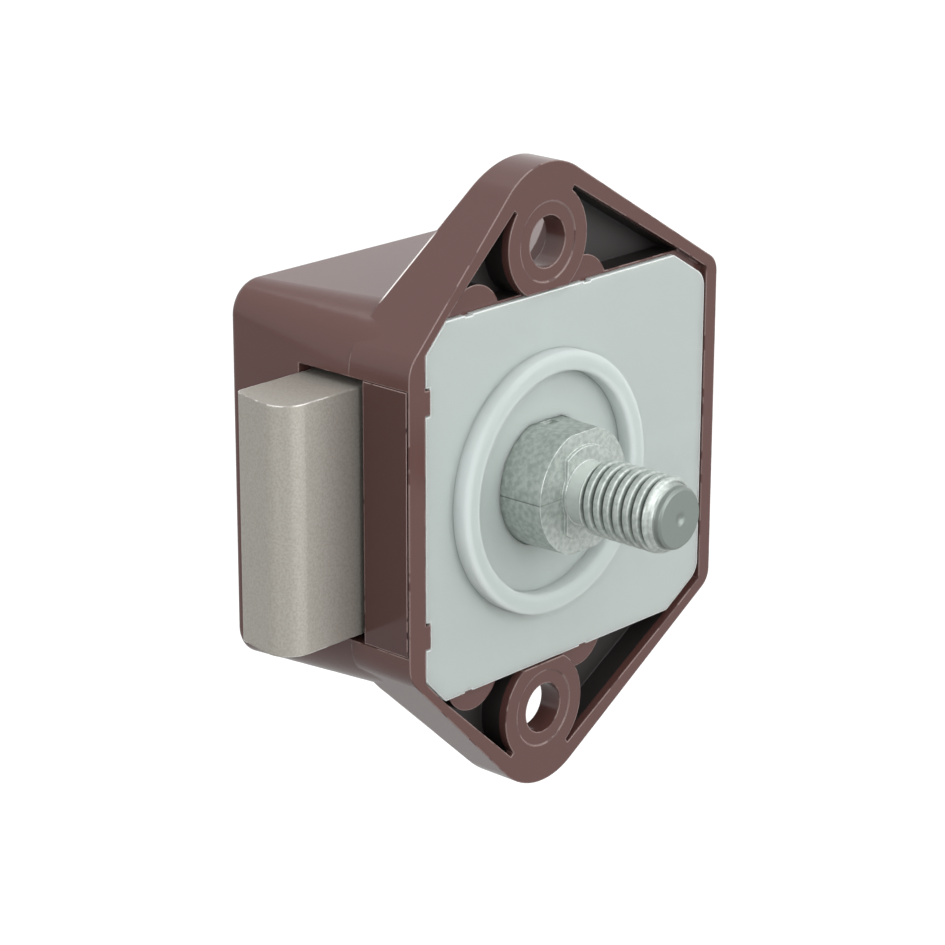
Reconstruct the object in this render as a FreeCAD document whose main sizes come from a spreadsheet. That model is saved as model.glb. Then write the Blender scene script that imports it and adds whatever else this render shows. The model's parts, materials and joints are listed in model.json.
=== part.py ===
import FreeCAD, Part
import Sketcher
import math
import os
import re

# Push-button lock for a cabinet door. X is along the latch bolt, positive away from its tip,
# Y goes from the face of the panel into the cabinet and Z is up. The origin is on the axis of
# the push spindle, in the plane of the front rim that lies against the back of the panel.
document = FreeCAD.newDocument("PushButtonLock")
sheet = document.addObject("Spreadsheet::Sheet", "Sizes")

sizes = {
    # Fixing ears, and the straight arms that run from them to the sides of the box
    "screw_spacing": 45.0,
    "screw_hole_radius": 2.4,
    "eye_radius": 7.35,
    "eye_boss_radius": 5.3,
    "eye_step_radius": 3.7,
    "eye_step_depth": 0.08,
    "screw_web": 2.4,
    "screw_seat_radius": 4.7,
    "recess_radius": 6.4,
    "recess_start": 3.7,
    "left_arm_angle": 45.7,
    "right_arm_angle": 31.3,
    "left_arm_wall": 0.9,
    "right_arm_wall": 1.15,
    "notch_wall": 1.6,
    "notch_back": 0.6,
    "left_corner_round": 3.0,
    "right_corner_round": 2.0,
    "ear_pocket_depth": 3.1,
    "ear_tip_thickness": 4.6,
    "ear_tip_height": 27.5,
    "ear_slope": 16.2,
    # Box of the housing
    "side_left": 18.1,
    "side_right": 24.5,
    "box_half_height": 18.2,
    "box_depth": 22.4,
    "blend_start": 4.0,
    "blend_front_radius": 6.5,
    "blend_rear_radius": 3.0,
    "rear_edge_round": 0.6,
    "side_wall": 1.6,
    "top_wall": 1.8,
    "rear_wall": 1.6,
    "rim_left": 2.05,
    "rim_right": 1.55,
    "ledge_depth": 0.8,
    "opening_half_height": 18.0,
    "opening_lip": 0.2,
    # Round posts in the corners, flat towards the bolt
    "post_left": 9.0,
    "post_right": 5.6,
    "post_height": 16.6,
    "post_radius": 3.5,
    "post_flat_height": 13.8,
    "rail_height": 11.8,
    "rail_half_width": 3.1,
    # Slot for the bolt in the left side, the strip that bridges it in front, and the strip's tabs
    "slot_half_height": 12.4,
    "slot_rear": 13.6,
    "strip_front": 0.15,
    "strip_lap": 0.8,
    "strip_depth": 1.6,
    "tab_inner": 9.8,
    "tab_height": 2.25,
    "tab_bite": 0.45,
    # Insert that fills the front of the slot
    "insert_depth": 5.6,
    "insert_gap": 0.1,
    "insert_lip": 0.9,
    "insert_lip_gap": 0.1,
    "insert_lip_wall": 0.65,
    # Cover plate with its raised locating ring
    "plate_front": 0.1,
    "plate_gap": 0.2,
    "plate_setback": 0.8,
    "plate_corner_round": 2.0,
    "ring_outer": 12.4,
    "ring_inner": 10.5,
    "ring_height": 1.7,
    "ring_round": 0.5,
    "guide_wall": 1.4,
    "guide_length": 2.4,
    "spindle_gap": 0.08,
    "plate_rib_height": 0.9,
    "plate_rib_width": 1.2,
    "snap_notch_width": 1.0,
    "snap_notch_depth": 0.15,
    "snap_notch_left": 10.3,
    "snap_notch_right": 5.6,
    # Latch bolt
    "bolt_front": 6.2,
    "bolt_rear": 13.3,
    "bolt_half_height": 11.6,
    "bolt_tip": 27.45,
    "bolt_bevel": 10.0,
    "bolt_front_round": 2.4,
    "bolt_rear_round": 1.0,
    "bolt_inner_end": 13.85,
    "tongue_start": 15.75,
    "tongue_half_height": 8.5,
    "web_inner": 13.0,
    "web_rear_gap": 0.5,
    # Cam plates either side of the bolt's web
    "cam_gap": 0.1,
    "cam_thickness": 2.7,
    "cam_left": 15.55,
    "cam_right": 4.2,
    "cam_front": 3.4,
    "cam_rear_gap": 0.3,
    "travel": 10.5,
    "overtravel": 0.6,
    "cam_round": 1.2,
    "pin_radius": 0.8,
    "pin_length": 6.2,
    "pin_across": 14.35,
    "pin_pitch": 3.7,
    "pin_rear_margin": 1.7,
    # Spindle, one zinc casting
    "hub_front": 4.55,
    "hub_front_radius": 5.97,
    "hub_radius": 6.08,
    "hub_draft_end": 0.3,
    "hub_rear": 13.0,
    "hub_flat": 5.68,
    "hub_mark_width": 1.6,
    "hub_mark_front": 0.9,
    "boss_radius": 4.4,
    "boss_height": 0.35,
    "boss_flat": 2.6,
    "neck_radius": 3.0,
    "neck_length": 0.8,
    "thread_radius": 3.55,
    "thread_end": 14.1,
    "tip_radius": 2.72,
    "tip_end": 15.8,
    "tip_dimple_radius": 0.7,
    "tip_dimple_depth": 0.4,
    "tail_radius": 3.0,
    "tail_end": 19.3,
    "trunnion_depth": 16.9,
    "trunnion_radius": 1.0,
    "trunnion_end": 12.3,
    "spring_bore_radius": 2.2,
    "spring_bore_end": 7.5,
    "arm_front": 14.3,
    "arm_rear": 17.1,
    "arm_half_height": 1.7,
    "arm_reach": 8.2,
    # Rollers on the trunnions and the clips that keep them there
    "roller_radius": 1.7,
    "roller_gap": 0.05,
    "roller_length": 2.5,
    "roller_slot_gap": 0.1,
    "clip_radius": 1.8,
    "clip_thickness": 0.5,
    "clip_start": 11.5,
    # Latching track and its follower
    "track_face": 10.0,
    "track_thickness": 3.2,
    "track_front": 7.3,
    "track_half_height": 4.5,
    "track_depth": 1.0,
    "track_half_width": 2.3,
    "heart_front": 10.8,
    "heart_rear": 19.5,
    "heart_half_width": 1.1,
    "heart_notch": 0.7,
    "pivot_radius": 0.6,
    "follower_start": 8.35,
    "follower_thickness": 0.8,
    "follower_reach": 3.6,
    "follower_eye": 1.3,
    "follower_half_width": 0.7,
    "follower_tip_radius": 0.5,
    "follower_tip_gap": 0.15,
    # Compression spring and its guide pin
    "spring_wire": 0.25,
    "spring_mean": 1.75,
    "spring_end_gap": 0.1,
    "spring_turns": 9.0,
    "guide_pin_radius": 1.1,
    "guide_pin_front": 12.5,
    "guide_pin_seat": 1.0,
}

# Sizes that follow from others: what lies near the rear wall keeps its gap to it
follows = {
    "inner_rear": "box_depth - rear_wall",
    "web_rear": "inner_rear - web_rear_gap",
    "cam_rear": "inner_rear - cam_rear_gap",
    "pin_rear_depth": "web_rear - pin_rear_margin",
    "pin_front_depth": "pin_rear_depth - pin_pitch",
    "pivot_depth": "(arm_front + arm_rear) / 2",
    "spring_front": "spring_bore_end + overtravel + spring_end_gap",
    "pocket_start": "max(opening_half_height; box_half_height - opening_lip)",
}

for row, (alias, value) in enumerate(list(sizes.items()) + list(follows.items()), start=1):
    sheet.set("A%d" % row, alias)
    sheet.set("B%d" % row, str(value) if alias in sizes else "=" + value)
    sheet.setAlias("B%d" % row, alias)
document.recompute()


# An expression in the names of the sheet, as the document writes it
def bound(text):
    def full_name(word):
        return "Sizes." + word.group() if word.group() in sizes or word.group() in follows else word.group()

    return re.sub(r"[a-z_]+", full_name, str(text))


# The present value of such an expression
def number(text):
    result = sheet.evalExpression(bound(text))
    return float(getattr(result, "Value", result))


def new_body(name):
    body = document.addObject("PartDesign::Body", name)
    body.Label = name
    return body


# A sketch on one of the body's own planes. In the XZ plane u is X and v is Z, and level is the
# depth along Y. In the XY plane level is the height along Z, in the YZ plane the distance along X.
def new_sketch(body, name, plane_role, level="0"):
    sketch = body.newObject("Sketcher::SketchObject", name)
    plane = [feature for feature in body.Origin.OriginFeatures if feature.Role == plane_role][0]
    sketch.AttachmentSupport = [(plane, "")]
    sketch.MapMode = "FlatFace"
    if level != "0":
        sign = "-1" if plane_role == "XZ_Plane" else "1"
        sketch.setExpression("AttachmentOffset.Base.z", bound("%s * (%s)" % (sign, level)))
    return sketch


def drive(sketch, constraint, name, expression):
    index = sketch.addConstraint(constraint)
    sketch.renameConstraint(index, name)
    sketch.setExpression("Constraints." + name, bound(expression))


def place_point(sketch, geometry, position, name, corner):
    u, v = number(corner[0]), number(corner[1])
    drive(sketch, Sketcher.Constraint("DistanceX", -1, 1, geometry, position, u), name + "_u", corner[0])
    drive(sketch, Sketcher.Constraint("DistanceY", -1, 1, geometry, position, v), name + "_v", corner[1])


# A closed outline through corners, each a pair of expressions, with a third where it is rounded
def add_outline(sketch, corners, prefix="c"):
    count = len(corners)
    points = [FreeCAD.Vector(number(corner[0]), number(corner[1]), 0) for corner in corners]
    arrive, leave, arcs = [], [], []
    for i, corner in enumerate(corners):
        before = (points[i - 1] - points[i]).normalize()
        after = (points[(i + 1) % count] - points[i]).normalize()
        if len(corner) == 2:
            arrive.append(points[i])
            leave.append(points[i])
            arcs.append(None)
            continue
        radius = number(corner[2])
        half = before.getAngle(after) / 2
        reach = radius / math.tan(half)
        start = points[i] + before * reach
        end = points[i] + after * reach
        centre = points[i] + (before + after).normalize() * (radius / math.sin(half))
        arrive.append(start)
        leave.append(end)
        turns_left = before.cross(after).z < 0
        first, last = (start, end) if turns_left else (end, start)
        angles = [math.atan2(p.y - centre.y, p.x - centre.x) for p in (first, last)]
        circle = Part.Circle(centre, FreeCAD.Vector(0, 0, 1), radius)
        arcs.append((Part.ArcOfCircle(circle, angles[0], angles[1]), turns_left))
    lines = []
    for i in range(count):
        segment = Part.LineSegment(leave[i], arrive[(i + 1) % count])
        lines.append(sketch.addGeometry(segment, False))
    for i, corner in enumerate(corners):
        name = "%s%d" % (prefix, i)
        into, out = lines[i - 1], lines[i]
        if arcs[i] is None:
            sketch.addConstraint(Sketcher.Constraint("Coincident", into, 2, out, 1))
            place_point(sketch, out, 1, name, corner)
            continue
        arc = sketch.addGeometry(arcs[i][0], False)
        first, last = (1, 2) if arcs[i][1] else (2, 1)
        sketch.addConstraint(Sketcher.Constraint("Tangent", into, 2, arc, first))
        sketch.addConstraint(Sketcher.Constraint("Tangent", arc, last, out, 1))
        point = sketch.addGeometry(Part.Point(points[i]), True)
        sketch.addConstraint(Sketcher.Constraint("PointOnObject", point, 1, into))
        sketch.addConstraint(Sketcher.Constraint("PointOnObject", point, 1, out))
        place_point(sketch, point, 1, name, corner)
        drive(sketch, Sketcher.Constraint("Radius", arc, number(corner[2])), name + "_round", corner[2])


def add_circle(sketch, centre, radius, prefix="o"):
    middle = FreeCAD.Vector(number(centre[0]), number(centre[1]), 0)
    circle = sketch.addGeometry(Part.Circle(middle, FreeCAD.Vector(0, 0, 1), number(radius)), False)
    place_point(sketch, circle, 3, prefix, centre)
    drive(sketch, Sketcher.Constraint("Radius", circle, number(radius)), prefix + "_radius", radius)


def box_corners(u_low, u_high, v_low, v_high, *rounding):
    return [(u_low, v_low, *rounding), (u_high, v_low, *rounding),
            (u_high, v_high, *rounding), (u_low, v_high, *rounding)]


# A feature raised from a sketch or cut into the body, and the test that it changed the volume
def raise_or_cut(body, kind, sketch, length, reverse, both_ways):
    before = body.Shape.Volume if body.Tip else 0.0
    feature = body.newObject("PartDesign::" + kind, sketch.Name + kind)
    feature.Profile = sketch
    if both_ways:
        feature.SideType = "Symmetric"
    feature.Reversed = reverse
    feature.setExpression("Length", bound(length))
    document.recompute()
    change = body.Shape.Volume - before
    if feature.State != ["Up-to-date"]:
        raise RuntimeError("%s of %s failed: %s" % (kind, sketch.Name, feature.getStatusString()))
    if (kind == "Pad" and change <= 0) or (kind == "Pocket" and change >= 0):
        raise RuntimeError("%s of %s changed nothing: %.3f" % (kind, sketch.Name, change))
    return feature


# Pads and pockets from a front plane go towards the rear
def pad(body, sketch, length, both_ways=False):
    depthwise = "XZ" in sketch.AttachmentSupport[0][0].Role
    return raise_or_cut(body, "Pad", sketch, length, depthwise, both_ways)


def pocket(body, sketch, length, both_ways=False):
    depthwise = "XZ" in sketch.AttachmentSupport[0][0].Role
    return raise_or_cut(body, "Pocket", sketch, length, not depthwise, both_ways)


# A full turn of a half section, drawn in the XY plane beside the Y axis
def turn(body, sketch, kind="Revolution"):
    feature = body.newObject("PartDesign::" + kind, sketch.Name + kind)
    feature.Profile = sketch
    axis = [part for part in body.Origin.OriginFeatures if part.Role == "Y_Axis"][0]
    feature.ReferenceAxis = (axis, [""])
    feature.Angle = 360.0
    document.recompute()
    return feature


# Rounds or bevels the edges that the test picks by their middle point and direction
def soften(body, name, size, chosen, kind="Fillet"):
    edges = []
    tip = body.Tip
    for index, edge in enumerate(tip.Shape.Edges, start=1):
        middle = edge.valueAt((edge.FirstParameter + edge.LastParameter) / 2)
        direction = edge.tangentAt((edge.FirstParameter + edge.LastParameter) / 2)
        if chosen(middle, direction, edge):
            edges.append("Edge%d" % index)
    if not edges:
        raise RuntimeError("no edge for " + name)
    feature = body.newObject("PartDesign::" + kind, name)
    feature.Base = (tip, edges)
    feature.setExpression("Radius" if kind == "Fillet" else "Size", bound(size))
    body.Tip = feature
    document.recompute()
    return feature


def near(value, target, reach=0.02):
    return abs(value - target) < reach


# A circle cut off flat on the side of the axis. Sign is 1 above the axis and -1 below it.
def add_dome(sketch, centre, radius, flat, sign):
    side = int(sign)
    reach = number(radius)
    middle = FreeCAD.Vector(number(centre[0]), number(centre[1]) * side, 0)
    angle = math.asin((number(centre[1]) - number(flat)) / reach)
    first, last = (-angle, math.pi + angle) if side > 0 else (math.pi - angle, 2 * math.pi + angle)
    arc = Part.ArcOfCircle(Part.Circle(middle, FreeCAD.Vector(0, 0, 1), reach), first, last)
    curve = sketch.addGeometry(arc, False)
    base = sketch.addGeometry(Part.LineSegment(arc.EndPoint, arc.StartPoint), False)
    sketch.addConstraint(Sketcher.Constraint("Coincident", curve, 2, base, 1))
    sketch.addConstraint(Sketcher.Constraint("Coincident", base, 2, curve, 1))
    sketch.addConstraint(Sketcher.Constraint("Horizontal", base))
    place_point(sketch, curve, 3, "centre", (centre[0], "%s * (%s)" % (sign, centre[1])))
    drive(sketch, Sketcher.Constraint("Radius", curve, reach), "round", radius)
    drive(sketch, Sketcher.Constraint("DistanceY", -1, 1, base, 1, number(flat) * side), "flat",
          "%s * (%s)" % (sign, flat))


hole_height = "screw_spacing / 2"
left_rise = "tan(left_arm_angle * 1 deg)"
right_rise = "tan(right_arm_angle * 1 deg)"
left_lean = "cos(left_arm_angle * 1 deg)"
right_lean = "cos(right_arm_angle * 1 deg)"


# Height of an arm's face at a distance from the spindle's axis, where inset is how far the face
# lies inside the tangent of the eye
def left_arm(x, inset="0"):
    return "(%s + (eye_radius - (%s)) / %s + (%s) * %s)" % (hole_height, inset, left_lean, x, left_rise)


def right_arm(x, inset="0"):
    return "(%s + (eye_radius - (%s)) / %s - (%s) * %s)" % (hole_height, inset, right_lean, x, right_rise)


def left_arm_at(height, inset="0"):
    return "((%s) - %s - (eye_radius - (%s)) / %s) / %s" % (height, hole_height, inset, left_lean, left_rise)


def right_arm_at(height, inset="0"):
    return "(%s + (eye_radius - (%s)) / %s - (%s)) / %s" % (hole_height, inset, right_lean, height, right_rise)


# Where the two outer faces of an ear would meet
peak_across = "(eye_radius / %s - eye_radius / %s) / (%s + %s)" % (right_lean, left_lean, left_rise, right_rise)

housing = new_body("housing")
flange = new_sketch(housing, "flange_outline", "XZ_Plane")
upper = [("side_right", right_arm("side_right"), "right_corner_round"),
         (peak_across, left_arm(peak_across), "eye_radius"),
         ("-side_left", left_arm("-side_left"), "left_corner_round")]
lower = [(corner[0], "-1 * " + corner[1], corner[2]) for corner in reversed(upper)]
add_outline(flange, upper + lower)
ear_root = "ear_tip_thickness + (ear_tip_height - box_half_height) * tan(ear_slope * 1 deg)"
pad(housing, flange, ear_root)

# The rear of each ear slopes from the box to a thinner tip
beyond = "(%s + 2 * eye_radius)" % hole_height
slope_end = "ear_tip_thickness + (ear_tip_height - %s) * tan(ear_slope * 1 deg)" % beyond
for side, sign in (("upper", "1"), ("lower", "-1")):
    slope = new_sketch(housing, side + "_ear_slope", "YZ_Plane")
    add_outline(slope, [(ear_root, sign + " * box_half_height"),
                        (slope_end, sign + " * " + beyond),
                        ("(%s) + 1" % ear_root, sign + " * " + beyond),
                        ("(%s) + 1" % ear_root, sign + " * box_half_height")])
    pocket(housing, slope, "4 * side_right", both_ways=True)

# The box, whose rounded corners tighten towards the rear
sections = []
for name, level, radius in (("box_front", "blend_start", "blend_front_radius"),
                            ("box_rear", "box_depth", "blend_rear_radius")):
    section = new_sketch(housing, name, "XZ_Plane", level)
    add_outline(section, box_corners("-side_left", "side_right", "-box_half_height", "box_half_height", radius))
    sections.append(section)
box = housing.newObject("PartDesign::AdditiveLoft", "box")
box.Profile = sections[0]
box.Sections = sections[1:]
box.Ruled = True
document.recompute()

rear = number("box_depth")
soften(housing, "rear_edges", "rear_edge_round", lambda m, d, e: near(m.y, rear))

cavity = new_sketch(housing, "cavity_outline", "XZ_Plane", "ledge_depth")
add_outline(cavity, box_corners("-(side_left - side_wall)", "side_right - side_wall",
                                "-(box_half_height - top_wall)", "box_half_height - top_wall",
                                "blend_rear_radius"))
pocket(housing, cavity, "inner_rear - ledge_depth")

# Opening for the cover plate, its corners cut along the inner faces of the arms
opening = new_sketch(housing, "plate_opening", "XZ_Plane")
open_left = "-(side_left - rim_left)"
open_right = "(side_right - rim_right)"
half = [(open_right, right_arm(open_right, "right_arm_wall")),
        (right_arm_at("opening_half_height", "right_arm_wall"), "opening_half_height"),
        (left_arm_at("opening_half_height", "left_arm_wall"), "opening_half_height"),
        (open_left, left_arm(open_left, "left_arm_wall"))]
mirrored = [(corner[0], "-1 * (%s)" % corner[1], *corner[2:]) for corner in reversed(half)]
add_outline(opening, half + mirrored)
pocket(housing, opening, "ledge_depth")

# Pocket in each ear between the arms, which ends in a narrow notch either side of the eye's boss
notch_turn = "(eye_radius - notch_wall)"
for side, sign in (("upper", "1"), ("lower", "-1")):
    pocket_sketch = new_sketch(housing, side + "_ear_pocket", "XZ_Plane")
    left_notch = "(-%s * sin(left_arm_angle * 1 deg) - notch_back * %s)" % (notch_turn, left_lean)
    right_notch = "(%s * sin(right_arm_angle * 1 deg) + notch_back * %s)" % (notch_turn, right_lean)
    floor_height = "pocket_start"
    add_outline(pocket_sketch, [
        (right_arm_at(floor_height, "right_arm_wall"), "%s * %s" % (sign, floor_height)),
        (right_notch, "%s * %s" % (sign, right_arm(right_notch, "notch_wall"))),
        ("0", "%s * %s" % (sign, hole_height)),
        (left_notch, "%s * %s" % (sign, left_arm(left_notch, "notch_wall"))),
        (left_arm_at(floor_height, "left_arm_wall"), "%s * %s" % (sign, floor_height))])
    pocket(housing, pocket_sketch, "ear_pocket_depth")

    # The boss is cut off flat where the pocket starts
    boss = new_sketch(housing, side + "_eye_boss", "XZ_Plane")
    add_dome(boss, ("0", hole_height), "eye_boss_radius", "pocket_start", sign)
    pad(housing, boss, "ear_pocket_depth")

    # Screw hole, the shallow step round it and the seat for the screw's head at the rear
    for name, radius, level, length in (("screw_hole", "screw_hole_radius", "0", ear_root),
                                        ("eye_step", "eye_step_radius", "0", "eye_step_depth"),
                                        ("screw_seat", "screw_seat_radius", "screw_web", ear_root)):
        round_cut = new_sketch(housing, "%s_%s" % (side, name), "XZ_Plane", level)
        add_circle(round_cut, ("0", "%s * %s" % (sign, hole_height)), radius)
        pocket(housing, round_cut, length)
    recess = new_sketch(housing, side + "_ear_recess", "XZ_Plane", "recess_start")
    add_dome(recess, ("0", hole_height), "recess_radius", "box_half_height + blend_start / 10", sign)
    pocket(housing, recess, ear_root)

# Corner posts, which show past the edge of the cover plate, and the guide rails behind them
for up, up_sign in (("upper", "1"), ("lower", "-1")):
    for across, middle in (("left", "-post_left"), ("right", "post_right")):
        post = new_sketch(housing, "%s_%s_post" % (up, across), "XZ_Plane", "ledge_depth")
        add_dome(post, (middle, "post_height"), "post_radius", "post_flat_height", up_sign)
        pad(housing, post, "ear_pocket_depth - ledge_depth")
        rail = new_sketch(housing, "%s_%s_rail" % (up, across), "XZ_Plane", "ledge_depth")
        add_outline(rail, box_corners(middle + " - rail_half_width", middle + " + rail_half_width",
                                      up_sign + " * rail_height",
                                      up_sign + " * (box_half_height - top_wall / 2)"))
        pad(housing, rail, "inner_rear + rear_wall / 2 - ledge_depth")

# Slot for the bolt. The strip in front of it ends in a mitre at the corner of the housing, and
# a tab near each end of the strip reaches over the edge of the cover plate.
wall_inside = "-(side_left - side_wall)"
strip_inside = "-(side_left - strip_lap)"
slot = new_sketch(housing, "bolt_slot", "XY_Plane")
add_outline(slot, [("-(side_left + 1)", "strip_front - 1"),
                   (strip_inside, "strip_front + strip_lap"),
                   (strip_inside, "strip_depth"),
                   (wall_inside + " + side_wall", "strip_depth"),
                   (wall_inside + " + side_wall", "slot_rear"),
                   ("-(side_left + 1)", "slot_rear")])
pocket(housing, slot, "2 * slot_half_height", both_ways=True)
for side, sign in (("upper", "1"), ("lower", "-1")):
    tab = new_sketch(housing, side + "_tab", "XZ_Plane")
    add_outline(tab, box_corners(strip_inside, open_left + " + plate_gap + tab_bite",
                                 sign + " * tab_inner", sign + " * (tab_inner + tab_height)"))
    pad(housing, tab, "ledge_depth")

# Insert in the front of the slot: its face is flush with the side of the housing, its front edge
# meets the strip's mitre, and its lip holds it behind the wall
insert = new_body("slot_insert")
insert_half = "(slot_half_height - insert_gap)"
insert_front = "(strip_front + 1.4 * insert_gap)"
block = new_sketch(insert, "insert_block", "XY_Plane")
add_outline(block, [("-side_left", insert_front),
                    (strip_inside + " - insert_gap", insert_front + " + strip_lap - insert_gap"),
                    (strip_inside + " - insert_gap", "strip_depth + insert_gap"),
                    (wall_inside, "strip_depth + insert_gap"),
                    (wall_inside, "insert_depth"),
                    ("-side_left", "insert_depth")])
pad(insert, block, "2 * " + insert_half, both_ways=True)
lip_length = "cam_front - 2 * insert_lip_gap - strip_depth - insert_gap"
for name, inner, half in (("insert_root", wall_inside, insert_half),
                          ("insert_lip", wall_inside + " + insert_lip_gap", "(%s + insert_lip)" % insert_half)):
    piece = new_sketch(insert, name, "XZ_Plane", "strip_depth + insert_gap")
    add_outline(piece, box_corners(inner, wall_inside + " + insert_lip_gap + insert_lip_wall", "-" + half, half))
    pad(insert, piece, lip_length)

# Cover plate, with a raised ring that locates in the hole of the panel
plate = new_body("cover_plate")
plate_left = "(-(side_left - rim_left) + plate_gap)"
plate_right = "(side_right - rim_right - plate_gap)"
plate_half = "(opening_half_height - plate_gap)"
plate_inset_left = "left_arm_wall + plate_gap"
plate_inset_right = "right_arm_wall + plate_setback"
base = new_sketch(plate, "plate_outline", "XZ_Plane", "plate_front")
half = [(plate_right, right_arm(plate_right, plate_inset_right), "plate_corner_round"),
        (right_arm_at(plate_half, plate_inset_right), plate_half),
        (left_arm_at(plate_half, plate_inset_left), plate_half),
        (plate_left, left_arm(plate_left, plate_inset_left))]
mirrored = [(corner[0], "-1 * (%s)" % corner[1], *corner[2:]) for corner in reversed(half)]
add_outline(base, half + mirrored)
pad(plate, base, "ledge_depth - plate_front")
ring = new_sketch(plate, "ring_section", "XY_Plane")
ring_low = "(plate_front + ledge_depth) / 2"
add_outline(ring, [("ring_inner", ring_low), ("ring_outer", ring_low),
                   ("ring_outer", "plate_front - ring_height", "ring_round"),
                   ("ring_inner", "plate_front - ring_height", "ring_round")])
turn(plate, ring)
sleeve = new_sketch(plate, "guide_sleeve", "XZ_Plane", "ledge_depth")
add_circle(sleeve, ("0", "0"), "hub_radius + spindle_gap + guide_wall")
pad(plate, sleeve, "guide_length")
for name, corners in (("upright_rib", box_corners("-plate_rib_width / 2", "plate_rib_width / 2",
                                                  "-(box_half_height - top_wall - plate_gap)",
                                                  "box_half_height - top_wall - plate_gap")),
                      ("level_rib", box_corners("0", "side_right - side_wall - plate_gap",
                                                "-plate_rib_width / 2", "plate_rib_width / 2"))):
    rib = new_sketch(plate, name, "XZ_Plane", "ledge_depth")
    add_outline(rib, corners)
    pad(plate, rib, "plate_rib_height")

# The guide hole has the flats of the spindle, so that the spindle can't turn
guide = new_sketch(plate, "guide_hole", "XZ_Plane")
flat_gap = "(hub_flat + spindle_gap)"
bore = number("hub_radius + spindle_gap")
rise = number(flat_gap)
angle = math.asin(rise / bore)
ends = []
for name, first, last in (("right", -angle, angle), ("left", math.pi - angle, math.pi + angle)):
    arc = Part.ArcOfCircle(Part.Circle(FreeCAD.Vector(0, 0, 0), FreeCAD.Vector(0, 0, 1), bore), first, last)
    ends.append((guide.addGeometry(arc, False), arc))
top_line = guide.addGeometry(Part.LineSegment(ends[0][1].EndPoint, ends[1][1].StartPoint), False)
low_line = guide.addGeometry(Part.LineSegment(ends[1][1].EndPoint, ends[0][1].StartPoint), False)
right_arc, left_arc = ends[0][0], ends[1][0]
for one, one_end, other, other_end in ((right_arc, 2, top_line, 1), (top_line, 2, left_arc, 1),
                                       (left_arc, 2, low_line, 1), (low_line, 2, right_arc, 1)):
    guide.addConstraint(Sketcher.Constraint("Coincident", one, one_end, other, other_end))
for index, arc in enumerate((right_arc, left_arc)):
    guide.addConstraint(Sketcher.Constraint("Coincident", arc, 3, -1, 1))
    drive(guide, Sketcher.Constraint("Radius", arc, bore), "bore%d" % index, "hub_radius + spindle_gap")
for index, (line, sign) in enumerate(((top_line, "1"), (low_line, "-1"))):
    guide.addConstraint(Sketcher.Constraint("Horizontal", line))
    drive(guide, Sketcher.Constraint("DistanceY", -1, 1, line, 1, rise * int(sign)), "flat%d" % index,
          sign + " * " + flat_gap)
pocket(plate, guide, "ledge_depth + 1 + guide_length")

# Notches for the tabs in the left edge, and two for the mould's snaps in the top and bottom edges
for side, sign in (("upper", "1"), ("lower", "-1")):
    notch = new_sketch(plate, side + "_tab_notch", "XZ_Plane")
    add_outline(notch, box_corners("-side_left", plate_left + " + tab_bite + plate_gap / 2",
                                   sign + " * (tab_inner - plate_gap)",
                                   sign + " * (tab_inner + tab_height + plate_gap)"))
    pocket(plate, notch, "2 * ledge_depth")
    for across, place in (("left", "-snap_notch_left"), ("right", "snap_notch_right")):
        nick = new_sketch(plate, "%s_%s_nick" % (side, across), "XZ_Plane")
        add_outline(nick, box_corners(place + " - snap_notch_width / 2", place + " + snap_notch_width / 2",
                                      "%s * (%s - snap_notch_depth)" % (sign, plate_half),
                                      "%s * (%s + 1)" % (sign, plate_half)))
        pocket(plate, nick, "2 * ledge_depth")

# Latch bolt: a nose with a slanted end, a narrow tongue between the cam plates and a web behind
bolt = new_body("latch_bolt")
nose = new_sketch(bolt, "nose_outline", "XY_Plane")
slant = "tan(bolt_bevel * 1 deg)"
add_outline(nose, [("-bolt_tip", "bolt_front", "bolt_front_round"),
                   ("-bolt_inner_end", "bolt_front"),
                   ("-bolt_inner_end", "bolt_rear"),
                   ("-(bolt_tip - (bolt_rear - bolt_front) * %s)" % slant, "bolt_rear", "bolt_rear_round")])
pad(bolt, nose, "2 * bolt_half_height", both_ways=True)
for side, sign in (("upper", "1"), ("lower", "-1")):
    shoulder = new_sketch(bolt, side + "_shoulder", "XZ_Plane")
    add_outline(shoulder, box_corners("-tongue_start", "0", sign + " * tongue_half_height",
                                      sign + " * (bolt_half_height + 1)"))
    pocket(bolt, shoulder, "box_depth")
web = new_sketch(bolt, "web_outline", "XY_Plane")
add_outline(web, box_corners("-tongue_start", "-web_inner", "bolt_rear - 1.5", "web_rear"))
pad(bolt, web, "2 * tongue_half_height", both_ways=True)
clear_web = new_sketch(bolt, "web_relief", "XY_Plane")
add_outline(clear_web, box_corners("-bolt_inner_end", "0", "0", "bolt_rear"))
pocket(bolt, clear_web, "4 * bolt_half_height", both_ways=True)
for name, depth in (("front", "pin_front_depth"), ("rear", "pin_rear_depth")):
    pin_hole = new_sketch(bolt, name + "_pin_hole", "XY_Plane")
    add_circle(pin_hole, ("-pin_across", depth), "pin_radius")
    pocket(bolt, pin_hole, "4 * bolt_half_height", both_ways=True)

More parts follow.
